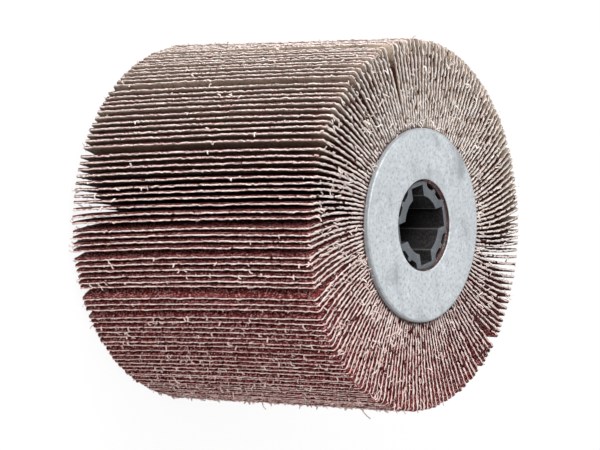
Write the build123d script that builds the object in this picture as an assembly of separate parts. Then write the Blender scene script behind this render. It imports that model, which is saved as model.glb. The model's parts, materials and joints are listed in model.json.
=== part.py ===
from build123d import *

import os
from math import atan2, copysign, cos, degrees, exp, floor, pi, radians, sin

# Flap wheel, drum pattern, in millimetres. Sheets of abrasive cloth stand edge-on round a resin core. A steel
# ring closes each end, and a moulded hub with a keyed bore takes the machine's spindle. The axis is Z and the
# wheel stands on its rear ring. One keyway is centred on +X. Seen from the front, flaps lean anticlockwise.

# Whole wheel
WHEEL_DIAMETER = 120.0
WHEEL_WIDTH = 100.0  # over both rings

# Keyed hub
BORE_DIAMETER = 19.0
KEYWAY_COUNT = 4
KEYWAY_WIDTH = 6.5
KEYWAY_DEPTH = 3.2  # from the bore's wall out to the keyway's floor
KEYWAY_WALL = 1.5  # material left outside the keyway's floor
HUB_RECESS = 1.0  # from a ring's outer face in to the hub's end
POCKET_WALL = 2.9  # material between the bore and the floor of a lightening pocket
POCKET_SPAN_ANGLE = 42.0  # that a pocket takes at the hub's outside, in degrees
POCKET_RIB_WIDTH = 1.9
POCKET_RIB_HEIGHT = 1.1  # from the pocket's floor

# Rings
RING_DIAMETER = 62.7
RING_THICKNESS = 2.0
RING_HOLE_CLEARANCE = 0.65  # from the hub's outside to the ring's hole, filled by the core's collar
RING_EDGE_BEVEL = 1.0  # outer edge of the face that shows

# Resin core
CORE_DIAMETER = 52.0
COLLAR_HEIGHT = 0.8  # resin that stands up inside each ring's hole
COLLAR_CLEARANCE = 0.05
GLUE_LINE = 0.05  # between the core and what is set in it

# Flaps
FLAP_THICKNESS = 0.8
FLAP_ROOT_GAP = 0.17  # between neighbours where they leave the core
FLAP_CORNER_CUT = 1.5  # taken off both corners of a flap at the rim
FLAP_FLATS = 4  # flat stretches that make up the bend of a flap
FLAP_SKEW = 2.9  # how far round the rear end of a flap stands ahead of its front end
FLAP_GROUPS = 42  # neighbouring flaps are filed together

# Lean of the flaps: how far round a tip stands ahead of its root at the front, in degrees
LEAD_ANGLE = 3.8
LEAD_SWING_ANGLE = 1.5  # more at the sides of the wheel, less at its top and bottom
LEAD_MOST_AT_ANGLE = -13.5
LEAD_RIPPLE_ANGLE = 0.22
RIPPLES_PER_TURN = (23, 37)
# Where neighbours stand apart: the angle round the rim and how much wider the gap is, in degrees
WIDE_GAP_ANGLES = (
    (-9.5, 0.8),
    (13.5, 0.9),
    (28.0, 0.7),
    (95.5, 2.6),
    (118.0, 1.5),
    (142.0, 1.0),
    (167.0, 1.1),
    (174.5, 1.2),
    (187.5, 2.2),
    (193.0, 1.3),
    (295.0, 1.4),
    (306.5, 2.3),
)
GAP_FADE_ANGLE = 7.0  # over which the neighbours of a wide gap close up again

WHEEL_RADIUS = WHEEL_DIAMETER / 2
BORE_RADIUS = BORE_DIAMETER / 2
KEYWAY_FLOOR_RADIUS = BORE_RADIUS + KEYWAY_DEPTH
HUB_RADIUS = KEYWAY_FLOOR_RADIUS + KEYWAY_WALL
HUB_LENGTH = WHEEL_WIDTH - 2 * HUB_RECESS
POCKET_FLOOR_RADIUS = BORE_RADIUS + POCKET_WALL
RING_HOLE_RADIUS = HUB_RADIUS + RING_HOLE_CLEARANCE
CORE_RADIUS = CORE_DIAMETER / 2
CORE_LENGTH = WHEEL_WIDTH - 2 * RING_THICKNESS
FLAP_ROOT_RADIUS = CORE_RADIUS + GLUE_LINE
FLAP_WIDTH = CORE_LENGTH
FLAP_COUNT = floor(2 * pi * FLAP_ROOT_RADIUS / (FLAP_THICKNESS + FLAP_ROOT_GAP))


def keyway_section():
    """A keyway centred on +X, from the axis out to its floor."""
    return Pos(KEYWAY_FLOOR_RADIUS / 2, 0) * Rectangle(KEYWAY_FLOOR_RADIUS, KEYWAY_WIDTH)


def pocket_section():
    """A pocket in the hub's outside, centred on +X, with rounded corners and a rib along its floor."""
    depth = HUB_RADIUS - POCKET_FLOOR_RADIUS
    corner_angle = degrees(depth / HUB_RADIUS)
    span = POCKET_SPAN_ANGLE - 2 * corner_angle
    hollow = SlotArc(CenterArc((0, 0), HUB_RADIUS, -span / 2, span), 2 * depth)
    rib_radius = POCKET_RIB_WIDTH / 2
    rib_centre = POCKET_FLOOR_RADIUS + POCKET_RIB_HEIGHT - rib_radius
    return hollow - Pos(rib_centre, 0) * Circle(rib_radius)


def keyed_hub():
    """The moulded hub: a bore with keyways, and a pocket between each two keyways."""
    step = 360 / KEYWAY_COUNT
    section = Circle(HUB_RADIUS) - Circle(BORE_RADIUS)
    for number in range(KEYWAY_COUNT):
        section -= Rot(0, 0, number * step) * keyway_section()
        section -= Rot(0, 0, (number + 0.5) * step) * pocket_section()
    return Pos(0, 0, HUB_RECESS) * extrude(section, HUB_LENGTH)


def resin_core():
    """The cast core that holds the flaps' roots, with a low collar that centres each ring."""
    body = Cylinder(CORE_RADIUS, CORE_LENGTH)
    collar = Cylinder(RING_HOLE_RADIUS - COLLAR_CLEARANCE, CORE_LENGTH + 2 * COLLAR_HEIGHT)
    bore = Cylinder(HUB_RADIUS + GLUE_LINE, WHEEL_WIDTH)
    return Pos(0, 0, WHEEL_WIDTH / 2) * (body + collar - bore)


def end_ring():
    """A stamped steel washer lying on its inner face, with the outer edge eased on the face that shows."""
    blank = Cylinder(RING_DIAMETER / 2, RING_THICKNESS) - Cylinder(RING_HOLE_RADIUS, RING_THICKNESS)
    outer_edge = blank.edges().group_by(Axis.Z)[-1].sort_by(SortBy.RADIUS)[-1]
    bevel = min(RING_EDGE_BEVEL, 0.9 * RING_THICKNESS)
    return Pos(0, 0, RING_THICKNESS / 2) * chamfer(outer_edge, bevel)


def front_ring():
    """The ring on the wheel's front, eased edge outwards."""
    return Pos(0, 0, WHEEL_WIDTH - RING_THICKNESS) * end_ring()


def rear_ring():
    """The ring that the wheel stands on, eased edge outwards."""
    return Pos(0, 0, RING_THICKNESS) * Rot(180, 0, 0) * end_ring()


def tip_lead(root_angle):
    """How far round, in degrees, the tip of the flap rooted at this angle stands ahead of its root."""
    lead = LEAD_ANGLE + LEAD_SWING_ANGLE * cos(radians(2 * (root_angle - LEAD_MOST_AT_ANGLE)))
    for ripples in RIPPLES_PER_TURN:
        lead += LEAD_RIPPLE_ANGLE / len(RIPPLES_PER_TURN) * sin(radians(ripples * root_angle))
    tip_angle = root_angle + lead
    for gap_angle, extra in WIDE_GAP_ANGLES:
        past_gap = (tip_angle - gap_angle + 180) % 360 - 180
        lead += copysign(extra / 2, past_gap) * exp(-abs(past_gap) / GAP_FADE_ANGLE)
    return lead


def flap_section(lead):
    """Section of a flap rooted on +X: a sheet that leaves the core square and bends evenly out to the rim."""
    tip = Vector(WHEEL_RADIUS * cos(radians(lead)), WHEEL_RADIUS * sin(radians(lead)))
    reach = tip - Vector(FLAP_ROOT_RADIUS, 0)
    bend_radius = reach.length**2 / (2 * reach.Y)
    bend_centre = Vector(FLAP_ROOT_RADIUS, bend_radius)
    turn = 2 * atan2(reach.Y, reach.X) / FLAP_FLATS
    outwards = [Vector(sin(turn * step), -cos(turn * step)) for step in range(FLAP_FLATS + 1)]
    back = [bend_centre + (bend_radius + FLAP_THICKNESS / 2) * way for way in outwards]
    front = [bend_centre + (bend_radius - FLAP_THICKNESS / 2) * way for way in reversed(outwards)]
    return make_face(Polyline(*back, *front, close=True))


def flap(number):
    """One flap of abrasive cloth in its place round the core, drawn from its front end to its rear end."""
    root_angle = (number + 0.5) * 360 / FLAP_COUNT
    run = Vector(0, FLAP_SKEW, -FLAP_WIDTH)
    sheet = extrude(flap_section(tip_lead(root_angle)), run.length, dir=run.normalized())
    rim_face = sheet.faces().sort_by(lambda face: face.center().X)[-1]
    corners = rim_face.edges().sort_by(SortBy.LENGTH)[:2]
    cut_sheet = chamfer(corners, FLAP_CORNER_CUT)
    return Pos(0, 0, WHEEL_WIDTH - RING_THICKNESS) * Rot(0, 0, root_angle) * cut_sheet


def flap_group(number):
    """A run of neighbouring flaps, each a solid of its own."""
    first = number * FLAP_COUNT // FLAP_GROUPS
    past_last = (number + 1) * FLAP_COUNT // FLAP_GROUPS
    return Compound(children=[flap(each) for each in range(first, past_last)])


def main():
    pieces = {
        "keyed_hub": keyed_hub(),
        "resin_core": resin_core(),
        "front_ring": front_ring(),
        "rear_ring": rear_ring(),
    }
    for number in range(FLAP_GROUPS):
        pieces[f"flaps_{number + 1:02d}"] = flap_group(number)
    os.makedirs("parts", exist_ok=True)
    for name, piece in pieces.items():
        export_step(piece, f"parts/{name}.step")


main()
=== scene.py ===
"""Flap wheel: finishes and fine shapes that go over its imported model, laid out as a Blender add-on.

The wheel's axis is Z and it stands on its rear ring. Lengths are in metres and angles in radians.
"""
import json
from math import atan2, cos, hypot, pi, radians, sin, sqrt

import bmesh
import bpy
from bpy.props import FloatProperty, FloatVectorProperty, IntProperty, PointerProperty
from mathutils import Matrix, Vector

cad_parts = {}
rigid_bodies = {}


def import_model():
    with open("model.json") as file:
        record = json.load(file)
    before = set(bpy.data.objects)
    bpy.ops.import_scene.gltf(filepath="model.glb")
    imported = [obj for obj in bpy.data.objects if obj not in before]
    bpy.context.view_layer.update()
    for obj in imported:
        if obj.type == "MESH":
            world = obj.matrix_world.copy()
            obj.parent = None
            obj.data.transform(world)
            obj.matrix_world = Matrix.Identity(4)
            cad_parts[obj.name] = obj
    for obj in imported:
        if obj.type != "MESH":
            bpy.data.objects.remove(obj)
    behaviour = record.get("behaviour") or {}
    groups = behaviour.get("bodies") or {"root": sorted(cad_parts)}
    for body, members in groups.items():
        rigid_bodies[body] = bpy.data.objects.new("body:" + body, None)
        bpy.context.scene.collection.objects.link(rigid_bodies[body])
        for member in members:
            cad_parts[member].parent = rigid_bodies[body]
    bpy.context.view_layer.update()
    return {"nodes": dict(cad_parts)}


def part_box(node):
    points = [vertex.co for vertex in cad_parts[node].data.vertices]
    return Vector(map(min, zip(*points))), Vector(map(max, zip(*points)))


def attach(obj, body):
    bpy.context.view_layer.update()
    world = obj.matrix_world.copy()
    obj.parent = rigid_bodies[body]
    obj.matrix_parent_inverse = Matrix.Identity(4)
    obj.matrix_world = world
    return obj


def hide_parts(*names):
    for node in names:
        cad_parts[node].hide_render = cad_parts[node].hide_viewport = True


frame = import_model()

bl_info = {
    "name": "Flap Wheel",
    "version": (1, 0, 0),
    "blender": (4, 5, 0),
    "location": "3D View > Sidebar > Flap Wheel",
    "description": "Builds the flaps, threads, rings, core and hub of a drum-shaped flap wheel",
    "category": "Object",
}

WHEEL_MIDDLE = 0.05
RIM_RADIUS = 0.06
RING_RADIUS = 0.03135
RING_FACE = (0.0275, 0.0235, 0.0195, 0.0165)  # radii that divide a ring's flat face
BORE_RADIUS = 0.0095
KEYWAY_HALF = 0.00325  # half of a keyway's width
FLAP_NODES = sorted(name for name in frame["nodes"] if name.startswith("flaps_"))
AT_EDGE = 0.00015  # corners of a solid this near to the rim or the root belong to it
FLAP_REAR, FLAP_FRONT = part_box(FLAP_NODES[0])[0].z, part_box(FLAP_NODES[0])[1].z
FLAP_WIDTH = FLAP_FRONT - FLAP_REAR
FLAP_MIDDLE = (FLAP_FRONT + FLAP_REAR) / 2
FLAP_LENGTH = 0.0341
FLAP_THICKNESS = 0.0008
FLAP_SHIFT = 0.0137  # between the patterns of neighbouring flaps
RIM_CLOTH = 0.56  # share of the flap's thickness that shows as frayed cloth at the rim, the rest is grain
END_CLOTH = 0.74  # and at the wheel's ends
WARP_PITCH, WEFT_PITCH = 0.00055, 0.00048  # of the cloth's weave
GAP_FADE = radians(7)  # over which the neighbours of a wide gap stand closer again
SHEET_COLUMNS, SHEET_ROWS, CORNER_COLUMNS = 9, 12, 4  # of faces on each side of a flap
BACKING, GRAIN, CUT_EDGE = 0, 1, 2
TIP_EDGE, FRONT_EDGE, REAR_EDGE = 1, 2, 3
# Inputs of the flaps' tree that come from the settings of the same names
FLAP_SHAPE = ("Skew", "Longer", "Longest At", "Closes At", "Closing", "Wave Height", "Fray Depth")


# Settings

def a_length(name, description, default, low, high):
    """A length that a user may change."""
    return FloatProperty(name=name, description=description, default=default, min=low, max=high,
                         unit="LENGTH", precision=5)


def an_angle(name, description, default):
    """A place round the wheel."""
    return FloatProperty(name=name, description=description, default=default, min=0.0, max=2 * pi,
                         unit="ROTATION")


def a_share(name, description, default, high=1.0):
    """A part of a whole."""
    return FloatProperty(name=name, description=description, default=default, min=0.0, max=high,
                         subtype="FACTOR")


def a_power(name, description, default):
    """The power of a lamp."""
    return FloatProperty(name=name, description=description, default=default, min=0.0, unit="POWER")


def a_colour(name, description, default):
    """A colour that a user may change."""
    return FloatVectorProperty(name=name, description=description, default=default, min=0.0, max=1.0,
                               subtype="COLOR", size=3)


class FlapSettings(bpy.types.PropertyGroup):
    """Shape and colours of the abrasive cloth flaps."""

    corner_radius: a_length("Corner Radius", "Worn corners of a flap at the rim", 0.001, 0.0005, 0.008)
    skew: a_length(
        "Skew", "How far round the rear end of a flap stands ahead of its front end", 0.0029, -0.005, 0.005)
    longer: a_length("Longer", "How far the longest flaps stand out past the others", 0.001, 0.0, 0.002)
    longest_at: an_angle("Longest At", "Where round the wheel the longest flaps are", radians(300))
    closes_at: an_angle(
        "Closes At", "Root angle of the wide gap that closes towards the rear", radians(92.5))
    closing: a_length("Closing", "How far each side of that gap comes in at the rear", 0.00136, 0.0, 0.002)
    wave_height: a_length(
        "Wave Height", "How far a flap's tip wanders sideways along the wheel", 0.00026, 0.0, 0.0008)
    fray_depth: a_length("Fray Depth", "Unevenness of the cut cloth edges", 0.0003, 0.0, 0.001)
    fray_step: a_length("Fray Step", "Length of one tuft of the cut edge", 0.001, 0.0005, 0.005)
    pieces: IntProperty(
        name="Pieces", description="Number of meshes that the flaps are shared between",
        default=6, min=2, max=14)
    seed: IntProperty(name="Seed", description="Changes the waves and the fraying", default=4, min=0)
    cut_colour: a_colour("Cut Edge", "Colour of the frayed cloth at the flap's edges", (0.72, 0.665, 0.635))
    backing_colour: a_colour("Backing", "Colour of the flap's cloth side", (0.48, 0.39, 0.295))
    grain_colour: a_colour("Grain", "Colour of the flap's abrasive side", (0.29, 0.060, 0.060))


class ThreadSettings(bpy.types.PropertyGroup):
    """Loose threads pulled out of the cut edges."""

    rim_share: a_share("Rim Share", "Share of the tufts at the rim that have a loose thread", 0.05)
    end_share: a_share("End Share", "Share of the tufts at the wheel's ends that have a loose thread", 0.1)
    length: a_length("Length", "Length of the longest common thread", 0.0021, 0.0002, 0.01)
    thickness: a_share("Thickness", "Half the thickness of a thread, as a share of its length", 0.085, 0.2)
    long_share: a_share("Long Share", "Share of the tufts that have a long pulled thread", 0.0009, 0.1)
    long_length: a_length("Long Length", "Length of the longest pulled thread", 0.0055, 0.001, 0.02)
    seed: IntProperty(name="Seed", description="Changes which tufts have threads", default=11, min=0)
    colour: a_colour("Thread", "Colour of the loose threads", (0.80, 0.74, 0.69))


class RingSettings(bpy.types.PropertyGroup):
    """The two zinc plated washers."""

    edge_radius: a_length(
        "Edge Radius", "Rounding of the outer edge that the press left", 0.0007, 0.0002, 0.0018)
    colour: a_colour("Zinc", "Colour of the zinc plating", (0.440, 0.470, 0.492))


class CentreSettings(bpy.types.PropertyGroup):
    """The resin core and the moulded hub."""

    resin_colour: a_colour("Resin", "Colour of the cast core", (0.055, 0.021, 0.017))
    hub_colour: a_colour("Hub", "Colour of the hub's black plastic", (0.010, 0.010, 0.011))
    scuff_colour: a_colour(
        "Scuffed End", "Colour of the hub's ends, scuffed and dusted grey", (0.096, 0.105, 0.117))
    hub_edge: a_length("Hub Edge", "Rounding of the hub's edges", 0.00018, 0.0, 0.0005)


class StageSettings(bpy.types.PropertyGroup):
    """Floor, lamps and camera."""

    floor_size: a_length("Floor Size", "Side of the floor", 6.0, 1.0, 20.0)
    key_power: a_power("Key Lamp", "Power of the large soft lamp", 26.5)
    fill_power: a_power("Fill Lamp", "Power of the lamp on the other side", 8.0)
    front_power: a_power("Front Lamp", "Power of the lamp before the wheel's front", 9.0)
    side_power: a_power("Side Lamp", "Power of the lamp that shines in between the flaps", 8.0)
    sky: FloatProperty(
        name="Sky", description="Strength of the even light all round", default=0.36, min=0.0)
    camera_place: FloatVectorProperty(
        name="Camera", description="Where the camera stands", subtype="TRANSLATION", size=3,
        default=(-0.72327, 0.18106, 0.60344), unit="LENGTH", precision=5)
    camera_turn: FloatVectorProperty(
        name="Camera Turn", description="How the camera is turned", subtype="EULER", size=3,
        default=(radians(-1.3587), radians(-53.4023), radians(-12.4091)), unit="ROTATION")
    lens: FloatProperty(name="Lens", description="Focal length in millimetres", default=167.39, min=10.0)


# Node trees

def sum_of(operation):
    """How a wire takes part in a sum: a node works it out."""
    return lambda wire, *others: wire.bench.math(operation, wire, *others)


class Wire:
    """What comes out of a node, so that sums can be written as sums."""

    def __init__(self, bench, socket):
        self.bench = bench
        self.socket = socket

    __add__ = sum_of("ADD")
    __sub__ = sum_of("SUBTRACT")
    __mul__ = sum_of("MULTIPLY")
    __truediv__ = sum_of("DIVIDE")
    __pow__ = sum_of("POWER")
    __abs__ = sum_of("ABSOLUTE")

    def __rsub__(self, other):
        return self.bench.math("SUBTRACT", other, self)

    def remap(self, low, high, to_low=0, to_high=1):
        """The number moved from one range to another, and kept inside it."""
        return self.bench.out("ShaderNodeMapRange", {0: self, 1: low, 2: high, 3: to_low, 4: to_high})

    def swing(self, amount):
        """Noise near one half turned into a number that swings either way of zero."""
        return (self - 0.5) * (amount * 2)

    def parts(self):
        """The three numbers of the vector."""
        node = self.bench.add("ShaderNodeSeparateXYZ", {0: self})
        return [Wire(self.bench, each) for each in node.outputs]

    def scaled(self, *by):
        """The vector with each of its numbers multiplied."""
        return self.bench.out("ShaderNodeVectorMath", {0: self, 1: by}, operation="MULTIPLY")


class Bench:
    """Adds nodes to a tree and links them as they are used."""

    def __init__(self, tree):
        self.tree = tree

    def feed(self, socket, value):
        """Links the socket to a wire, or sets its value."""
        if isinstance(value, Wire):
            self.tree.links.new(value.socket, socket)
        elif socket.type == "RGBA":
            socket.default_value = (*value, 1.0)
        else:
            socket.default_value = value

    def add(self, kind, inputs=None, **settings):
        """A new node with its settings made and its inputs fed, by name or by number."""
        node = self.tree.nodes.new(kind)
        node.location = (190 * (len(self.tree.nodes) % 24), -240 * (len(self.tree.nodes) // 24))
        for name, value in settings.items():
            setattr(node, name, value)
        for key, value in (inputs or {}).items():
            self.feed(node.inputs[key], value)
        return node

    def out(self, kind, inputs=None, output=0, **settings):
        """What comes out of a new node."""
        return Wire(self, self.add(kind, inputs, **settings).outputs[output])

    def math(self, operation, *values):
        """One number worked out of others."""
        return self.out("ShaderNodeMath", dict(enumerate(values)), operation=operation)

    def join(self, x, y, z):
        """A vector of three numbers."""
        return self.out("ShaderNodeCombineXYZ", {0: x, 1: y, 2: z})

    def distance(self, x, y):
        """How far a point is from the start of two axes."""
        return self.math("SQRT", x * x + y * y)

    def noise(self, vector, scale, detail=2, roughness=0.5, w=None):
        """Smooth noise, a number near one half. With w it changes from one w to the next."""
        inputs = {"Vector": vector, "Scale": scale, "Detail": detail, "Roughness": roughness}
        if w is not None:
            inputs["W"] = w
        return self.out("ShaderNodeTexNoise", inputs, noise_dimensions="3D" if w is None else "4D")

    def cells(self, vector, scale, output="Distance"):
        """Distance to the nearest of scattered points, or the colour of its cell."""
        return self.out("ShaderNodeTexVoronoi", {"Vector": vector, "Scale": scale}, output)

    def blend(self, share, first, second):
        """Two colours mixed."""
        return self.out("ShaderNodeMix", {0: share, 6: first, 7: second}, 2, data_type="RGBA")

    def grade(self, value, low, high, first, second, most=1):
        """The first colour below a range of the number, with this much of the second one above it."""
        return self.blend(value.remap(low, high, 0, most), first, second)


class Finish(Bench):
    """The bench of a new material, with the shader that it feeds."""

    def __init__(self, name):
        self.material = bpy.data.materials.new(name)
        self.material.use_nodes = True
        super().__init__(self.material.node_tree)
        self.shader = self.tree.nodes["Principled BSDF"]

    def place(self):
        """The point on the piece, in metres."""
        return self.out("ShaderNodeTexCoord", output="Object")

    def attribute(self, name):
        """A number that the flap's own mesh carries."""
        return self.out("ShaderNodeAttribute", output="Fac", attribute_name=name)

    def place_on_flap(self):
        """The point on the piece, moved on with each flap so that neighbours don't share a pattern."""
        x, y, z = self.place().parts()
        return self.join(x, y, self.attribute("flap_number") * FLAP_SHIFT + z)

    def place_on_sheet(self):
        """The point on the flat sheet, out from the core and along from the rear, in metres."""
        return self.out("ShaderNodeUVMap", uv_map="flap_cloth").parts()[:2]

    def to_edges(self):
        """How far the point is from the flap's rim, and from the nearer one of its ends."""
        out, along = self.place_on_sheet()
        return FLAP_LENGTH - out, self.math("MINIMUM", FLAP_WIDTH - along, along)

    def near_ends(self, start, full):
        """1 near both ends of the wheel, from this far to that far from its middle."""
        return abs(self.place().parts()[2] - WHEEL_MIDDLE).remap(start, full)

    def done(self, tone, roughness, relief, depth, specular=0.5, metallic=0):
        """The material with its colour, its roughness and a relief that is this deep, in metres."""
        inputs = self.shader.inputs
        self.feed(inputs["Base Color"], tone)
        self.feed(inputs["Roughness"], roughness)
        bump = {"Strength": 1, "Distance": depth, "Height": relief}
        self.feed(inputs["Normal"], self.out("ShaderNodeBump", bump))
        inputs["Specular IOR Level"].default_value = specular
        inputs["Metallic"].default_value = metallic
        return self.material


# Finishes

def paint_gap_shade(coat, tone, dark, deep, at_ends):
    """Paints shade on a flap's side: darker where its neighbour is close, and with depth, faster from the
    wheel's ends.
    """
    to_rim, to_end = coat.to_edges()
    depth = coat.math("MINIMUM", to_rim, to_end * at_ends)
    ragged = coat.noise(coat.place_on_flap(), 900, 2, 0.7).swing(0.003)
    depth = ragged * depth.remap(0, 0.002) + depth
    # painted shade that deepens with depth below the rim and the ends, towards the dark tone
    tone = coat.grade(depth, 0, deep, tone, dark)
    # painted shade from ambient occlusion where the neighbouring flap is close, near the rim and the ends
    open_sky = coat.out("ShaderNodeAmbientOcclusion", {"Distance": 0.004}, "AO", samples=6)
    shallow = coat.math("MAXIMUM", to_rim.remap(0.002, 0.0045, 1, 0), to_end.remap(0.001, 0.003, 1, 0))
    return coat.blend(open_sky.remap(0.14, 0.50, 0.95, 0) * shallow, tone, dark)


def painted_shade_side(coat):
    """1 on the wheel's -Y side, away from the key lamp, and 0 on the other side: where a painted reddish
    shade goes.
    """
    x, y, _ = coat.place().parts()
    return (x * 0.5 + y).remap(0.03, -0.055)


def cut_edge_finish(colour):
    """Cut cotton at the edge of a flap: cream, stained most of all at the rim, with dark breaks, painted
    shade and a painted shadow.
    """
    coat = Finish("flap_cut_edge")
    point = coat.place_on_flap()
    at_rim = coat.attribute("edge_kind").remap(1, 1.6, 1, 0)
    broad = coat.noise(point, 90, 2, 0.6)
    tufts = coat.noise(point, 1300, 3, 0.7)
    fibre = coat.noise(point.scaled(1, 1, 0.5), 3200, 2, 0.6)
    # painted shade: on the wheel's -Y side the stain is heavier and turns from tan to red
    shade_side = painted_shade_side(coat)
    stain_and_shade = coat.noise(point, 500, 3, 0.7).remap(0.48, 0.70) * shade_side.remap(0, 1, 0.5, 0.75)
    stain_and_shade = shade_side * at_rim.remap(0, 1, 0.28, 0.26) + (at_rim * 0.20 + stain_and_shade)

    cream = coat.grade(tufts, 0.35, 0.65, colour * 0.60, colour)
    x, y, _ = coat.place().parts()
    # painted shade: the cut edges at the wheel's ends are darker towards +Y, where the key lamp lights them
    # most
    cream = coat.grade(x * 0.57 + y, 0.014, 0.044, cream, colour * 0.54, 0.42)
    bright = coat.grade(tufts, 0.4, 0.6, colour * 0.76, colour * 1.24)
    # painted shade: the rim's cream is darker away from the -Y side, where the key lamp lights it most
    bright = coat.blend(shade_side.remap(0, 0.6, 0.45, 0), bright, colour * 0.70)
    cream = coat.blend(at_rim, cream, bright)
    tan = coat.grade(broad, 0.35, 0.65, (0.60, 0.43, 0.385), (0.42, 0.26, 0.22))
    red = coat.grade(broad, 0.35, 0.65, (0.66, 0.37, 0.33), (0.46, 0.15, 0.125))
    tone = coat.blend(stain_and_shade, cream, coat.blend(shade_side, tan, red))
    nicks = at_rim * 0.03 + coat.noise(point, 1700, 2, 0.65)
    nicks = nicks.remap(0.57, 0.65) * at_rim.remap(0, 1, 0.08, 0.75)
    tone = coat.blend(nicks, tone, (0.07, 0.010, 0.010))
    # painted shadow: the cut edges darken just outside the ring, where its edge shades them
    from_ring = coat.distance(x, y) - RING_RADIUS
    tone = coat.blend(from_ring.remap(0.00035, 0.00145, 0.8, 0), tone, (0.06, 0.025, 0.02))
    return coat.done(tone, fibre.remap(0.2, 0.8, 0.8, 1), fibre + tufts, 0.00025, specular=0.1)


def backing_finish(colour):
    """The cloth side of a flap: a fine weave sized with brown glue, dusted with grain."""
    coat = Finish("flap_backing")
    out, along = coat.place_on_sheet()
    point = coat.place_on_flap()
    warp = coat.math("SINE", out * (2 * pi / WARP_PITCH))
    weft = coat.math("SINE", along * (2 * pi / WEFT_PITCH))
    weave = (warp * weft).remap(-1, 1)
    broad = coat.noise(point, 60, 4, 0.6)
    dust = coat.noise(point, 1400, 3, 0.7).remap(0.55, 0.7)
    crumbs = coat.noise(point, 1150, 2, 0.7)
    tone = coat.grade(broad, 0.3, 0.7, colour * 0.7, colour * 1.3)
    tone = coat.blend(weave * 0.45, tone, colour * 0.4)
    tone = coat.blend(dust * 0.45, tone, (0.55, 0.42, 0.36))
    tone = coat.grade(crumbs, 0.56, 0.66, tone, (0.05, 0.02, 0.015), 0.6)
    # painted shade in the gaps between the flaps, towards this dark brown
    tone = paint_gap_shade(coat, tone, (0.040, 0.013, 0.008), 0.008, 14)
    return coat.done(tone, broad.remap(0.3, 0.7, 0.75, 0.95), weave + dust, 0.00008, specular=0.06)


def grain_finish(colour):
    """The abrasive side of a flap: dark red grains packed in resin, with painted glints on a few bright
    facets.
    """
    coat = Finish("flap_grain")
    point = coat.place_on_flap()
    grains = coat.cells(point, 2300)
    shade = coat.cells(point, 2300, "Color").parts()[0]
    small = coat.cells(point, 4200, "Color").parts()[1]
    broad = coat.noise(point, 70, 3, 0.6)
    to_edge = coat.math("MINIMUM", *coat.to_edges())
    tone = coat.grade(shade, 0.15, 0.70, (0.02, 0.001, 0.001), colour * 1.25)
    tone = coat.grade(broad, 0.4, 0.8, tone, colour * 0.5, 0.5)
    tone = coat.grade(small, 0.62, 0.72, tone, (0.03, 0.004, 0.004), 0.7)
    # painted highlight: pinkish glints on some of the grains
    tone = coat.grade(shade, 0.80, 0.86, tone, (0.66, 0.38, 0.36), 0.85)
    # darker within 0.3 mm of the flap's edges: the grain's own dark cut edge, together with painted shade
    # beside the cloth bead
    tone = coat.blend(to_edge.remap(0, 0.0003, 0.9, 0), tone, (0.015, 0.001, 0.001))
    # painted shade in the gaps between the flaps, towards this near-black red
    tone = paint_gap_shade(coat, tone, (0.020, 0.002, 0.002), 0.05, 90)
    relief = grains.remap(0, 0.6, 1, 0)
    return coat.done(tone, shade.remap(0, 1, 0.9, 0.55), relief, 0.0002, specular=0.03)


def thread_finish(colour):
    """Loose cotton threads, cream and uneven in tone, with a painted reddish shade on the wheel's -Y side.
    """
    coat = Finish("loose_thread")
    point = coat.place()
    broad = coat.noise(point, 240, 2, 0.6)
    fibre = coat.noise(point, 4000, 2, 0.6)
    tone = coat.grade(broad, 0.35, 0.65, colour, (0.62, 0.52, 0.48))
    # painted shade: the threads redden on the wheel's -Y side
    tone = coat.blend(painted_shade_side(coat) * 0.55, tone, (0.60, 0.40, 0.38))
    return coat.done(tone, fibre.remap(0.2, 0.8, 0.75, 0.95), fibre, 0.00005)


def zinc_finish(colour):
    """Dull zinc plating: cloudy, finely pitted, with a few smudges."""
    coat = Finish("zinc_plating")
    point = coat.place()
    drawn = point.scaled(1, 0.6, 1)
    mottle = coat.noise(point, 900, 4, 0.7)
    pits = coat.cells(point, 330).remap(0.06, 0.12, 1, 0)
    tone = coat.grade(coat.noise(point, 75, 5, 0.62), 0.3, 0.7, colour * 0.90, colour * 1.10)
    tone = coat.grade(mottle, 0.48, 0.70, tone, colour * 0.56)
    tone = coat.grade(coat.noise(drawn, 480, 3, 0.6), 0.56, 0.72, tone, colour * 1.25, 0.8)
    tone = coat.grade(coat.noise(drawn, 95, 3, 0.55, 4.6), 0.55, 0.72, tone, colour * 0.52, 0.9)
    tone = coat.blend(pits * 0.65, tone, (0.22, 0.23, 0.25))
    x, y, _ = point.parts()
    # painted shade: a darker band on the ring's rounded outer edge, more on the -Y side, that dims its
    # highlight
    painted_edge_shading = (coat.distance(x, y) - RING_RADIUS).remap(-0.00085, -0.00045)
    painted_edge_shading = painted_edge_shading * y.remap(0.012, -0.012, 0.45, 0.62)
    tone = coat.blend(painted_edge_shading, tone, colour * 0.42)
    return coat.done(tone, mottle.remap(0.3, 0.7, 0.42, 0.62), mottle - pits, 0.00004, metallic=0.35)


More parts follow.
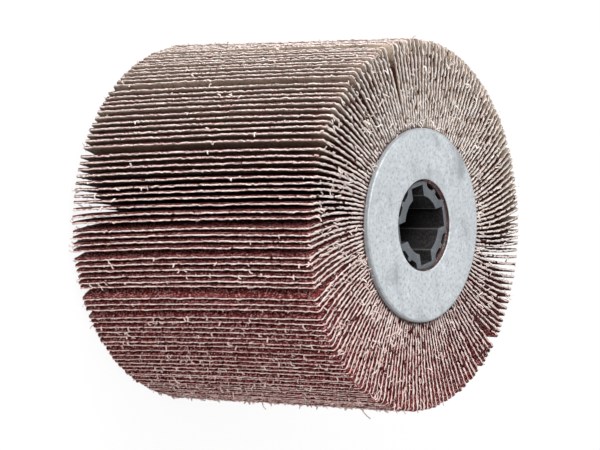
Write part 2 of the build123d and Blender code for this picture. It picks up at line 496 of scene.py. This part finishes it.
def hub_finish(colour, scuffed):
    """Black moulded plastic whose ends are scuffed and dusted grey."""
    coat = Finish("hub_moulding")
    point = coat.place()
    fine = coat.noise(point, 1900, 3, 0.7)
    mouth = coat.noise(point, 1300, 4, 0.75).remap(0.44, 0.70) * coat.near_ends(0.030, 0.049)
    black = coat.blend(mouth * 0.4, colour, (0.10, 0.085, 0.078))
    x, y, _ = point.parts()
    # painted highlight: lighter lines along the corners where the keyways meet the bore
    to_corner = coat.math("MINIMUM", abs(x), abs(y)) - KEYWAY_HALF
    to_wall = coat.distance(x, y) - BORE_RADIUS
    painted_edge_shading = coat.distance(to_corner, to_wall).remap(0.0001, 0.0004, 0.45, 0)
    black = coat.blend(painted_edge_shading, black, (0.125, 0.117, 0.113))
    cloud = coat.noise(point, 160, 3, 0.6)
    grey = coat.grade(cloud, 0.3, 0.7, scuffed * 0.88, scuffed * 1.14)
    grey = coat.grade(coat.noise(point, 1500, 2, 0.7), 0.60, 0.72, grey, (0.42, 0.40, 0.38), 0.3)
    tone = coat.blend(coat.near_ends(0.04884, 0.04896), black, grey)
    return coat.done(tone, fine.remap(0.3, 0.7, 0.5, 0.75), fine, 0.00006, specular=0.06)


def resin_finish(colour):
    """Cast red-brown resin with lumps of pale cloth dust."""
    coat = Finish("cast_resin")
    point = coat.place()
    lumps = coat.noise(point, 350, 3, 0.6)
    dust = coat.noise(point, 620, 3, 0.7).remap(0.58, 0.68)
    tone = coat.grade(lumps, 0.35, 0.65, colour * 0.3, colour * 1.1)
    tone = coat.blend(dust * 0.8, tone, (0.55, 0.36, 0.32))
    # painted shade: the resin is much darker more than about 1 mm below the wheel's ends
    tone = coat.blend(coat.near_ends(0.0478, 0.0487), colour * 0.12, tone)
    return coat.done(tone, lumps.remap(0.3, 0.7, 0.35, 0.75), lumps + dust, 0.0004)


def floor_finish():
    """Plain white floor that shows as the white background and keeps a soft shadow."""
    coat = Finish("floor_white")
    tone = coat.blend(coat.noise(coat.place(), 6), (0.86, 0.86, 0.86), (0.90, 0.90, 0.90))
    coat.feed(coat.shader.inputs["Base Color"], tone)
    coat.shader.inputs["Roughness"].default_value = 0.9
    glow = coat.out("ShaderNodeEmission", {"Color": (1, 1, 1), "Strength": 1})
    surface = Wire(coat, coat.shader.outputs[0])
    mixed = coat.out("ShaderNodeMixShader", {0: white_to_camera(coat) * 0.93, 1: surface, 2: glow})
    coat.feed(coat.tree.nodes["Material Output"].inputs["Surface"], mixed)
    return coat.material


def white_to_camera(bench):
    """1 for rays from the camera, and for those that polish or glass sends on."""
    camera, glossy, glass = [bench.out("ShaderNodeLightPath", output=f"Is {kind} Ray")
                             for kind in ("Camera", "Glossy", "Transmission")]
    return bench.math("MAXIMUM", bench.math("MAXIMUM", camera, glossy), glass)


# Meshes

def new_object(name, data):
    """An object at the origin that holds the mesh, lamp or camera."""
    piece = bpy.data.objects.new(name, data)
    bpy.context.scene.collection.objects.link(piece)
    return piece


def made_object(name, shape):
    """The shape that was being worked on as an object of its own."""
    mesh = bpy.data.meshes.new(name)
    shape.to_mesh(mesh)
    shape.free()
    return new_object(name, mesh)


def finished(piece, slot, *nodes):
    """Hands a finished piece to the frame: fixes it to the root body and hides the nodes that it stands for.
    The slot is not used.
    """
    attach(piece, "root")
    if nodes:
        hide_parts(*nodes)


def remove(piece):
    """Deletes a helper object and its mesh."""
    mesh = piece.data
    bpy.data.objects.remove(piece)
    bpy.data.meshes.remove(mesh)


def from_axis(point):
    """How far a point is from the wheel's axis."""
    return hypot(point.x, point.y)


def node_points(node):
    """The corners of a solid."""
    return [vertex.co for vertex in frame["nodes"][node].data.vertices]


def hole_of(node):
    """The radius of the hole through a solid."""
    return min(map(from_axis, node_points(node)))


def front_points(node):
    """The corners of a node's flaps in the front half of the wheel."""
    return [point for point in node_points(node) if point.z > FLAP_MIDDLE]


def merge_close(values, gap):
    """Sorted numbers with those nearer to each other than the gap made one."""
    kept = []
    for value in sorted(values):
        if not kept or value - kept[-1] > gap:
            kept.append(value)
    return kept


def flap_angles(points):
    """Where round the wheel each flap stands, from the corners on both its sides."""
    middle = atan2(sum(point.y for point in points), sum(point.x for point in points))
    turned = [atan2(point.y, point.x) - middle for point in points]
    edges = merge_close([(angle + pi) % (2 * pi) - pi for angle in turned], radians(0.05))
    return [middle + (edges[each] + edges[each + 1]) / 2 for each in range(0, len(edges), 2)]


def flap_bends(node, root_radius):
    """For each flap of a node: the angle of its root, the radius of its bend and the angle that it bends."""
    points = front_points(node)
    nearest = min(map(from_axis, points))
    roots = flap_angles([point for point in points if from_axis(point) < nearest + AT_EDGE])
    tips = flap_angles([point for point in points if from_axis(point) > RIM_RADIUS - AT_EDGE])
    if len(roots) != len(tips):
        raise RuntimeError(f"{node}: {len(roots)} roots and {len(tips)} tips")
    bends = []
    for root, tip in zip(roots, tips):
        reach = Vector((RIM_RADIUS * cos(tip - root) - root_radius, RIM_RADIUS * sin(tip - root)))
        bends.append((root, reach.length_squared / (2 * reach.y), 2 * atan2(reach.y, reach.x)))
    return bends


def outline_of_flap(corner, step):
    """Points round a flat flap from its front root to its rear root: place, outward way and edge."""
    points = []
    straight, level = FLAP_LENGTH - corner, FLAP_WIDTH / 2 - corner
    count = round(straight / step)
    for each in range(count):
        points.append((straight * each / count, FLAP_WIDTH / 2, 0.0, 1.0, FRONT_EDGE))
    count = max(3, round(corner * pi / 2 / step))
    for each in range(count):
        east, north = sin(pi / 2 * each / count), cos(pi / 2 * each / count)
        edge = FRONT_EDGE if each * 2 < count else TIP_EDGE
        points.append((straight + corner * east, level + corner * north, east, north, edge))
    count = round(level / step)
    for each in range(count + 1):
        points.append((FLAP_LENGTH, level * (1 - each / count), 1.0, 0.0, TIP_EDGE))
    mirrored = [(x, -z, out_x, -out_z, REAR_EDGE if edge == FRONT_EDGE else edge)
                for x, z, out_x, out_z, edge in reversed(points[:-1])]
    return points + mirrored


def flap_template(settings):
    """One flat flap, x out from the core, y towards its backing, z along the wheel from the middle.

    A thin closed sheet, with a closed bead of cut cloth round its front, rim and rear edges.
    """
    half = FLAP_THICKNESS / 2
    corner = settings.corner_radius
    shape = bmesh.new()
    edge_layer = shape.verts.layers.int.new("edge_kind")
    ways = [shape.verts.layers.float.new(name) for name in ("out_x", "out_y", "out_z")]
    kind_layer = shape.faces.layers.int.new("face_kind")
    cloth_map = shape.loops.layers.uv.new("flap_cloth")

    def add_face(corners, kind, smooth=False):
        face = shape.faces.new(corners)
        face[kind_layer] = kind
        face.smooth = smooth

    columns = [FLAP_LENGTH * each / SHEET_COLUMNS for each in range(SHEET_COLUMNS)]
    columns += [FLAP_LENGTH - corner * (1 - sin(pi / 2 * each / CORNER_COLUMNS))
                for each in range(CORNER_COLUMNS + 1)]
    columns = merge_close(columns, 0.0002)
    sides = []
    for y in (half, -half):
        grid = []
        for x in columns:
            inside = max(0.0, x - (FLAP_LENGTH - corner))
            reach = FLAP_WIDTH / 2 - corner + sqrt(max(0.0, corner**2 - inside**2))
            heights = [reach * (1 - 2 * row / SHEET_ROWS) for row in range(SHEET_ROWS + 1)]
            grid.append([shape.verts.new((x, y, height)) for height in heights])
        sides.append(grid)
    back, front = sides
    last = len(columns) - 1
    for grid, kind in ((back, BACKING), (front, GRAIN)):
        for column in range(last):
            for row in range(SHEET_ROWS):
                corners = (grid[column][row], grid[column + 1][row],
                           grid[column + 1][row + 1], grid[column][row + 1])
                add_face(corners if kind == GRAIN else corners[::-1], kind, smooth=True)
    border = [(0, row) for row in range(SHEET_ROWS)]
    border += [(column, SHEET_ROWS) for column in range(last)]
    border += [(last, row) for row in range(SHEET_ROWS, 0, -1)]
    border += [(column, 0) for column in range(last, 0, -1)]
    for (c0, r0), (c1, r1) in zip(border, border[1:] + border[:1]):
        add_face((back[c0][r0], back[c1][r1], front[c1][r1], front[c0][r0]), GRAIN)

    rings = []
    for x, z, way_x, way_z, edge in outline_of_flap(corner, settings.fray_step):
        cloth = half - FLAP_THICKNESS * (END_CLOTH + (RIM_CLOTH - END_CLOTH) * way_x**2)
        middle = (half + cloth) / 2
        # The bead's section: its foot inside the sheet, its backing side, its crest and its grain side
        section = ((-0.0003, middle), (0.00004, half + 0.00002), (0.0002, middle), (0.00004, cloth))
        ring = []
        for number, (out, y) in enumerate(section):
            vertex = shape.verts.new((x + way_x * out, y, z + way_z * out))
            if number:
                vertex[edge_layer] = edge
                for layer, way in zip(ways, (way_x, 2 - number, way_z)):
                    vertex[layer] = way
            ring.append(vertex)
        rings.append(ring)
    for ring, after in zip(rings, rings[1:]):
        for each in range(4):
            beside = (each + 1) % 4
            add_face((ring[each], ring[beside], after[beside], after[each]), CUT_EDGE)
    add_face(rings[0][::-1], CUT_EDGE)
    add_face(rings[-1], CUT_EDGE)

    bmesh.ops.recalc_face_normals(shape, faces=shape.faces)
    for face in shape.faces:
        for loop in face.loops:
            loop[cloth_map].uv = (loop.vert.co.x, loop.vert.co.z + FLAP_WIDTH / 2)
    return made_object("flap_template", shape)


def root_points(bends, first_number):
    """A point for each flap, with what its bend needs to know."""
    mesh = bpy.data.meshes.new("flap_roots")
    mesh.from_pydata([(0.0, 0.0, 0.0)] * len(bends), [], [])
    for name, values in zip(("root_angle", "bend_radius", "bend_turn"), zip(*bends)):
        mesh.attributes.new(name, "FLOAT", "POINT").data.foreach_set("value", values)
    numbers = mesh.attributes.new("flap_number", "INT", "POINT")
    numbers.data.foreach_set("value", range(first_number, first_number + len(bends)))
    return new_object("flap_roots", mesh)


def spun(name, profile, segments, jitter=None):
    """A closed ring made by turning a closed profile of (radius, height) points round the axis."""
    shape = bmesh.new()
    turns = []
    for segment in range(segments):
        angle = 2 * pi * segment / segments
        column = []
        for number, (radius, height) in enumerate(profile):
            if jitter:
                radius, height = jitter(number, angle, radius, height)
            column.append(shape.verts.new((radius * cos(angle), radius * sin(angle), height)))
        turns.append(column)
    for column, after in zip(turns, turns[1:] + turns[:1]):
        for each in range(len(profile)):
            beside = (each + 1) % len(profile)
            face = shape.faces.new((column[each], column[beside], after[beside], after[each]))
            face.smooth = True
    bmesh.ops.recalc_face_normals(shape, faces=shape.faces)
    ring = made_object(name, shape)
    ring.data.set_sharp_from_angle(angle=radians(35))
    return ring


def rounded_corner(centre_r, centre_z, radius, start, stop, steps):
    """Points of a rounded corner in a ring's profile, angles in degrees."""
    turns = [radians(start + (stop - start) * each / steps) for each in range(steps + 1)]
    return [(centre_r + radius * cos(turn), centre_z + radius * sin(turn)) for turn in turns]


# Geometry nodes

class Recipe(Bench):
    """The bench of a new geometry node tree with named inputs besides its geometry."""

    def __init__(self, name, **inputs):
        super().__init__(bpy.data.node_groups.new(name, "GeometryNodeTree"))
        sockets = self.tree.interface
        sockets.new_socket("Geometry", in_out="OUTPUT", socket_type="NodeSocketGeometry")
        for kind, labels in {"Geometry": ["Geometry"], **inputs}.items():
            for label in labels:
                sockets.new_socket(label, in_out="INPUT", socket_type="NodeSocket" + kind)
        self.given = {socket.name: Wire(self, socket) for socket in self.add("NodeGroupInput").outputs}

    def known(self, name, kind="FLOAT"):
        """A named attribute of the geometry."""
        return self.out("GeometryNodeInputNamedAttribute", {"Name": name}, data_type=kind)

    def same(self, number, wanted):
        """Whether a whole number is the wanted one."""
        inputs = {2: number, 3: wanted}
        return self.out("FunctionNodeCompare", inputs, data_type="INT", operation="EQUAL")

    def either(self, test, when_true, when_false):
        """One of two numbers."""
        inputs = {0: test, 1: when_false, 2: when_true}
        return self.out("GeometryNodeSwitch", inputs, input_type="FLOAT")

    def by_chance(self, low, high, number, seed):
        """A random number that is the same wherever the whole number is the same."""
        inputs = {2: low, 3: high, 7: number, 8: seed}
        return self.out("FunctionNodeRandomValue", inputs, 1, data_type="FLOAT")

    def done(self, geometry, finishes):
        """The tree, ending in real meshes with a material on each kind of face, or one on them all."""
        whole = self.out("GeometryNodeRealizeInstances", {0: geometry})
        for wanted, material in finishes.items():
            inputs = {"Geometry": whole, "Material": material}
            if wanted is not None:
                inputs["Selection"] = self.same(self.known("face_kind", "INT"), wanted)
            whole = self.out("GeometryNodeSetMaterial", inputs)
        self.feed(self.add("NodeGroupOutput").inputs[0], whole)
        return self.tree


def grown(base, tree, values, name):
    """What the tree makes of the base, as a plain mesh in a new object. The base is removed."""
    modifier = base.modifiers.new(tree.name, "NODES")
    modifier.node_group = tree
    for item in tree.interface.items_tree:
        if item.in_out == "INPUT" and item.name in values:
            modifier[item.identifier] = values[item.name]
    bpy.context.view_layer.update()
    evaluated = base.evaluated_get(bpy.context.evaluated_depsgraph_get())
    mesh = bpy.data.meshes.new_from_object(evaluated)
    mesh.name = name
    remove(base)
    return new_object(name, mesh)


def bent_flaps_tree(finishes):
    """Stands a flap on each root point, frays and waves it, and bends it out to the rim."""
    tree = Recipe("bent_flaps", Object=["Template"], Int=["Seed"], Float=[
        "Flap Length", "Flap Width", "Root Radius", "Middle", *FLAP_SHAPE])
    given = tree.given
    template = tree.out("GeometryNodeObjectInfo", {"Object": given["Template"]}, "Geometry")
    stood = tree.out("GeometryNodeInstanceOnPoints", {"Points": given["Geometry"], "Instance": template})
    flaps = tree.out("GeometryNodeRealizeInstances", {0: stood})
    number, seed = tree.known("flap_number", "INT"), given["Seed"]
    apart = number * 3.7 + seed
    flat = tree.out("GeometryNodeInputPosition")
    x, y, z = flat.parts()
    outer = tree.math("MAXIMUM", x / given["Flap Length"], 0) ** 1.6

    def noise(stretch, scale, detail, roughness, shift=0):
        return tree.noise(flat.scaled(*stretch), scale, detail, roughness, apart + shift)

    # Frayed cut edges
    edge = tree.known("edge_kind", "INT")
    depth = given["Fray Depth"] * tree.math("MINIMUM", edge, 1)
    tufts = noise((1, 1, 1), 800, 1, 0.5).swing(depth * 2.2)
    lumps = noise((1, 1, 1), 260, 1, 0.5).remap(0.60, 0.78)
    pushed = tufts + lumps * depth
    sideways = noise((1, 0.3, 1), 950, 1, 0.5, 40).swing(depth * 1.6)
    swollen = noise((1, 0, 1), 190, 2, 0.6, 80).remap(0.42, 0.72, -0.3, 1.3)
    swollen = swollen * (tree.same(edge, TIP_EDGE) * -0.35 + 0.5)
    x = tree.known("out_x") * pushed + x
    y = tree.known("out_y") * (swollen * depth) + y + sideways
    z = tree.known("out_z") * pushed + z

    # Waves, slant and length
    height = given["Wave Height"]
    long_wave = noise((0.6, 0, 1), 38, 0, 0.5).swing(height)
    short_wave = noise((0.8, 0, 1), 130, 1, 0.5).swing(height * 0.45)
    slant = tree.by_chance(-4, 4, number, seed) * height * z * 1.6
    y = (long_wave + short_wave + slant) * outer + y
    root = tree.known("root_angle")
    swell = tree.math("MAXIMUM", tree.math("COSINE", root - given["Longest At"]), 0) ** 6
    uneven = swell * given["Longer"] + tree.by_chance(-0.0003, 0.0002, number, seed + 1)
    x = uneven * outer + x

    # Bend, skew and the gap that closes
    along = x / given["Flap Length"] * tree.known("bend_turn")
    bend = tree.known("bend_radius")
    ahead = (bend - y) * tree.math("SINE", along) + given["Root Radius"]
    aside = bend - (bend - y) * tree.math("COSINE", along)
    to_rear = 0.5 - z / given["Flap Width"]
    aside = to_rear * (to_rear * 0.85 + 0.15) * given["Skew"] + aside
    past_gap = root - given["Closes At"]
    near_gap = tree.math("EXPONENT", abs(past_gap) / -GAP_FADE)
    inward = tree.math("SIGN", past_gap) * near_gap * (to_rear * outer)
    aside = aside - inward * given["Closing"]
    east, north = tree.math("COSINE", root), tree.math("SINE", root)
    standing = tree.join(ahead * east - aside * north, ahead * north + aside * east, z + given["Middle"])
    bent = tree.out("GeometryNodeSetPosition", {"Geometry": flaps, "Position": standing})
    return tree.done(bent, finishes)


def loose_threads_tree(material):
    """Stands a short curled thread on some of the tufts of the flaps' cut edges."""
    tree = Recipe("loose_threads", Float=["Rim Share", "End Share", "Length", "Thickness"], Int=["Seed"])
    given = tree.given
    number = tree.out("GeometryNodeInputIndex")

    def draw(low, high, later):
        return tree.by_chance(low, high, number, given["Seed"] + later)

    # Which tufts have one
    edge = tree.known("edge_kind", "INT")
    at_rim = tree.same(edge, TIP_EDGE)
    point = tree.out("GeometryNodeInputPosition")
    x, y, _ = point.parts()
    clump = tree.noise(point, 110, 1, 0.5).remap(0.50, 0.66, 0.2, 3)
    corner = x.remap(-0.048, -0.055) * y.remap(-0.02, 0.01)
    on_end = corner * 2.5 + clump * x.remap(0, -0.045, 0.7, 1.6)
    on_rim = y.remap(0.015, -0.02, 0.2, 1.35)
    share = tree.either(at_rim, given["Rim Share"], given["End Share"]) * tree.either(at_rim, on_rim, on_end)
    chosen = tree.math("LESS_THAN", draw(0, 1, 0), share) * tree.math("GREATER_THAN", edge, 0.5)
    tufts = tree.out("GeometryNodeMeshToPoints", {"Mesh": given["Geometry"], "Selection": chosen})

    # The thread
    spine = tree.out("GeometryNodeCurveQuadraticBezier", {
        "Resolution": 4, "Start": (0, 0, -0.3), "Middle": (0.3, 0, 0.2), "End": (0.05, 0.2, 0.8)})
    section = tree.out("GeometryNodeCurvePrimitiveCircle", {"Resolution": 3, "Radius": given["Thickness"]})
    thread = tree.out("GeometryNodeCurveToMesh", {
        "Curve": spine, "Profile Curve": section, "Fill Caps": True})

    # Which way it points and how long it is
    outwards = tree.either(at_rim, 9, draw(-32, 32, 7))
    turning = draw(-4, 16, 8) * at_rim
    east = x * outwards + draw(-0.5, 0.5, 2)
    north = y * outwards + draw(-0.5, 0.5, 3)
    along = at_rim * 0.45 + draw(-0.5, 0.5, 4) * (at_rim * 0.8 + 0.2)
    to_end = tree.same(edge, FRONT_EDGE) - tree.same(edge, REAR_EDGE)
    way = tree.join(east - y * turning, x * turning + north, to_end * 0.35 + along)
    spin = tree.join(0, 0, draw(0, 2 * pi, 5))
    turned = tree.out("FunctionNodeAlignRotationToVector", {"Vector": way, "Rotation": spin}, axis="Z")
    size = draw(0.25, 1, 6) ** 1.6 * given["Length"] * (at_rim * -0.22 + 1)
    girth = size * (at_rim * 0.9 + 1.3)
    stood = tree.out("GeometryNodeInstanceOnPoints", {
        "Points": tufts, "Instance": thread, "Rotation": turned, "Scale": tree.join(girth, girth, size)})
    return tree.done(stood, {None: material})


# Operators

class FLAPWHEEL_OT_stage(bpy.types.Operator):
    """Set the floor, the soft lamps and the camera"""

    bl_idname = "flapwheel.stage"
    bl_label = "Set the Stage"

    def execute(self, context):
        settings = context.scene.flap_wheel_stage
        half = settings.floor_size / 2
        corners = [(-half, -half, 0), (half, -half, 0), (half, half, 0), (-half, half, 0)]
        mesh = bpy.data.meshes.new("floor")
        mesh.from_pydata(corners, [], [(0, 1, 2, 3)])
        mesh.materials.append(floor_finish())
        new_object("floor", mesh)

        world = bpy.data.worlds.new("studio")
        context.scene.world = world
        world.use_nodes = True
        bench = Bench(world.node_tree)
        sky = world.node_tree.nodes["Background"].inputs
        bench.feed(sky["Color"], (1.0, 1.0, 1.0))
        bench.feed(sky["Strength"], white_to_camera(bench).remap(0.0, 1.0, settings.sky, 1.0))

        self.hang_lamp("key_lamp", settings.key_power, 1.1, (-0.35, 1.25, 0.75))
        self.hang_lamp("fill_lamp", settings.fill_power, 1.1, (-0.45, -1.25, 0.55))
        self.hang_lamp("front_lamp", settings.front_power, 1.0, (0.35, 0.55, 1.35))
        self.hang_lamp("side_lamp", settings.side_power, 0.4, (-1.0, 0.62, 0.75))

        camera = bpy.data.cameras.new("camera")
        camera.sensor_width = 36.0
        camera.lens = settings.lens
        camera.clip_start = 0.01
        camera.clip_end = 20.0
        eye = new_object("camera", camera)
        eye.location = settings.camera_place
        eye.rotation_euler = settings.camera_turn
        context.scene.camera = eye
        context.scene.view_settings.view_transform = "Standard"
        return {"FINISHED"}

    def hang_lamp(self, name, power, size, place):
        """A square soft lamp that faces the middle of the wheel."""
        lamp = bpy.data.lights.new(name, "AREA")
        lamp.energy = power
        lamp.size = size
        hung = new_object(name, lamp)
        hung.location = place
        aim = Vector((0.0, 0.0, WHEEL_MIDDLE)) - Vector(place)
        hung.rotation_euler = aim.to_track_quat("-Z", "Y").to_euler()
        hung.visible_camera = False


class FLAPWHEEL_OT_rings(bpy.types.Operator):
    """Turn the two zinc plated rings with a rounded outer edge"""

    bl_idname = "flapwheel.rings"
    bl_label = "Turn the Rings"

    def execute(self, context):
        settings = context.scene.flap_wheel_rings
        zinc = zinc_finish(settings.colour)
        for node, outwards in (("front_ring", 1), ("rear_ring", -1)):
            low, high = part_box(node)
            outside = high.x
            hole = hole_of(node)
            thick = high.z - low.z
            edge = min(settings.edge_radius, 0.9 * thick)
            profile = [(hole, 0.0), (outside - 0.0002, 0.0), (outside, 0.0002)]
            profile += rounded_corner(outside - edge, thick - edge, edge, 0, 90, 7)
            profile += [(radius, thick) for radius in RING_FACE]
            profile += rounded_corner(hole + 0.0003, thick - 0.0003, 0.0003, 90, 180, 3)
            inner = low.z if outwards > 0 else high.z
            ring = spun("zinc_" + node, [(radius, inner + outwards * up) for radius, up in profile], 144)
            ring.data.materials.append(zinc)
            finished(ring, "ring_steel", node)
        return {"FINISHED"}


class FLAPWHEEL_OT_core(bpy.types.Operator):
    """Cast the resin core, with resin drawn up the wall of each ring's hole"""

    bl_idname = "flapwheel.core"
    bl_label = "Cast the Core"

    def execute(self, context):
        settings = context.scene.flap_wheel_centre
        low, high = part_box("resin_core")
        middle = (low.z + high.z) / 2
        reach = high.z - middle
        outside = high.x
        bore = hole_of("resin_core")
        wall = bore + 0.00058
        # Half of the section: the outside, up the thin wall of resin and down again to the bore
        half = [(outside, reach - 0.0008), (wall, reach - 0.0008), (wall, reach + 0.0009),
                (wall - 0.00008, reach + 0.00085), (wall - 0.00012, reach + 0.0004),
                (wall - 0.00022, reach + 0.0001), (bore + 0.0002, reach), (bore, reach - 0.00015)]
        profile = [(radius, middle + height) for radius, height in half]
        profile += [(radius, middle - height) for radius, height in reversed(half)]
        lumpy_rows = (4, 5, 6, 9, 10, 11)  # of the profile, where the resin was drawn up

        def lumpy(number, angle, radius, height):
            if number in lumpy_rows:
                swell = sin(17 * angle + number) + sin(41 * angle + 2 * number) + sin(73 * angle)
                radius -= 0.00005 * swell
                height += 0.0001 * (sin(23 * angle) + sin(59 * angle + number))
            return radius, height

        core = spun("cast_resin_core", profile, 216, lumpy)
        core.data.materials.append(resin_finish(settings.resin_colour))
        finished(core, "core_resin", "resin_core")
        return {"FINISHED"}


class FLAPWHEEL_OT_hub(bpy.types.Operator):
    """Finish the moulded hub with soft edges"""

    bl_idname = "flapwheel.hub"
    bl_label = "Finish the Hub"

    def execute(self, context):
        settings = context.scene.flap_wheel_centre
        shape = bmesh.new()
        shape.from_mesh(frame["nodes"]["keyed_hub"].data)
        bmesh.ops.remove_doubles(shape, verts=shape.verts, dist=0.000002)
        bmesh.ops.dissolve_limit(shape, angle_limit=radians(0.5), verts=shape.verts, edges=shape.edges)
        sharp = [edge for edge in shape.edges if edge.calc_face_angle(0.0) > radians(40)]
        if settings.hub_edge:
            bmesh.ops.bevel(shape, geom=sharp, offset=settings.hub_edge, segments=2, profile=0.6,
                            affect="EDGES", clamp_overlap=True)
        for face in shape.faces:
            face.smooth = True
        hub = made_object("moulded_hub", shape)
        hub.data.set_sharp_from_angle(angle=radians(50))
        hub.data.materials.append(hub_finish(settings.hub_colour, settings.scuff_colour))
        finished(hub, "hub_plastic", "keyed_hub")
        return {"FINISHED"}


class FLAPWHEEL_OT_flaps(bpy.types.Operator):
    """Set the flaps of abrasive cloth round the core"""

    bl_idname = "flapwheel.flaps"
    bl_label = "Set the Flaps"

    def execute(self, context):
        settings = context.scene.flap_wheel_flaps
        nearest = min(map(from_axis, front_points(FLAP_NODES[0])))
        root_radius = sqrt(nearest**2 - (FLAP_THICKNESS / 2)**2)
        template = flap_template(settings)
        tree = bent_flaps_tree({
            BACKING: backing_finish(settings.backing_colour),
            GRAIN: grain_finish(settings.grain_colour),
            CUT_EDGE: cut_edge_finish(settings.cut_colour)})
        values = {"Template": template, "Flap Length": FLAP_LENGTH, "Flap Width": FLAP_WIDTH,
                  "Root Radius": root_radius, "Middle": FLAP_MIDDLE, "Seed": settings.seed}
        for label in FLAP_SHAPE:
            values[label] = getattr(settings, label.lower().replace(" ", "_"))
        done = 0
        for number in range(settings.pieces):
            first = len(FLAP_NODES) * number // settings.pieces
            past = len(FLAP_NODES) * (number + 1) // settings.pieces
            nodes = FLAP_NODES[first:past]
            bends = [bend for name in nodes for bend in flap_bends(name, root_radius)]
            flaps = grown(root_points(bends, done), tree, values, f"cloth_flaps_{number + 1}")
            finished(flaps, "flap_cloth", *nodes)
            done += len(bends)
        remove(template)
        return {"FINISHED"}


class FLAPWHEEL_OT_threads(bpy.types.Operator):
    """Pull short and long threads out of the flaps' cut edges"""

    bl_idname = "flapwheel.threads"
    bl_label = "Pull Threads"

    def execute(self, context):
        settings = context.scene.flap_wheel_threads
        tree = loose_threads_tree(thread_finish(settings.colour))
        packs = [piece for piece in context.scene.objects if piece.name.startswith("cloth_flaps_")]
        if not packs:
            raise RuntimeError("the flaps come before their threads")
        kinds = {
            "short": {"Rim Share": settings.rim_share, "End Share": settings.end_share,
                      "Length": settings.length, "Thickness": settings.thickness},
            "long": {"Rim Share": settings.long_share * 0.4, "End Share": settings.long_share,
                     "Length": settings.long_length, "Thickness": settings.thickness * 0.3},
        }
        for number, flaps in enumerate(packs):
            for kind, (name, values) in enumerate(kinds.items()):
                values["Seed"] = settings.seed + number + 50 * kind
                base = new_object("thread_roots", flaps.data.copy())
                finished(grown(base, tree, values, f"{name}_threads_{number + 1}"), "flap_cloth")
        return {"FINISHED"}


class FLAPWHEEL_PT_panel(bpy.types.Panel):
    """Lists the steps that build the flap wheel"""

    bl_idname = "FLAPWHEEL_PT_panel"
    bl_label = "Flap Wheel"
    bl_space_type = "VIEW_3D"
    bl_region_type = "UI"
    bl_category = "Flap Wheel"

    def draw(self, context):
        for group, kind, operators in STEPS:
            box = self.layout.box()
            for name in kind.__annotations__:
                box.prop(getattr(context.scene, group), name)
            for operator in operators:
                box.operator(operator.bl_idname)


STEPS = (
    ("flap_wheel_stage", StageSettings, [FLAPWHEEL_OT_stage]),
    ("flap_wheel_rings", RingSettings, [FLAPWHEEL_OT_rings]),
    ("flap_wheel_centre", CentreSettings, [FLAPWHEEL_OT_core, FLAPWHEEL_OT_hub]),
    ("flap_wheel_flaps", FlapSettings, [FLAPWHEEL_OT_flaps]),
    ("flap_wheel_threads", ThreadSettings, [FLAPWHEEL_OT_threads]),
)


def register():
    for group, kind, operators in STEPS:
        for each in (kind, *operators):
            bpy.utils.register_class(each)
        setattr(bpy.types.Scene, group, PointerProperty(type=kind))
    bpy.utils.register_class(FLAPWHEEL_PT_panel)


def unregister():
    bpy.utils.unregister_class(FLAPWHEEL_PT_panel)
    for group, kind, operators in STEPS:
        delattr(bpy.types.Scene, group)
        for each in (*operators, kind):
            bpy.utils.unregister_class(each)


def main():
    """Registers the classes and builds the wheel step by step."""
    register()
    bpy.ops.flapwheel.stage()
    bpy.ops.flapwheel.rings()
    bpy.ops.flapwheel.core()
    bpy.ops.flapwheel.hub()
    bpy.ops.flapwheel.flaps()
    bpy.ops.flapwheel.threads()


if __name__ == "__main__":
    main()
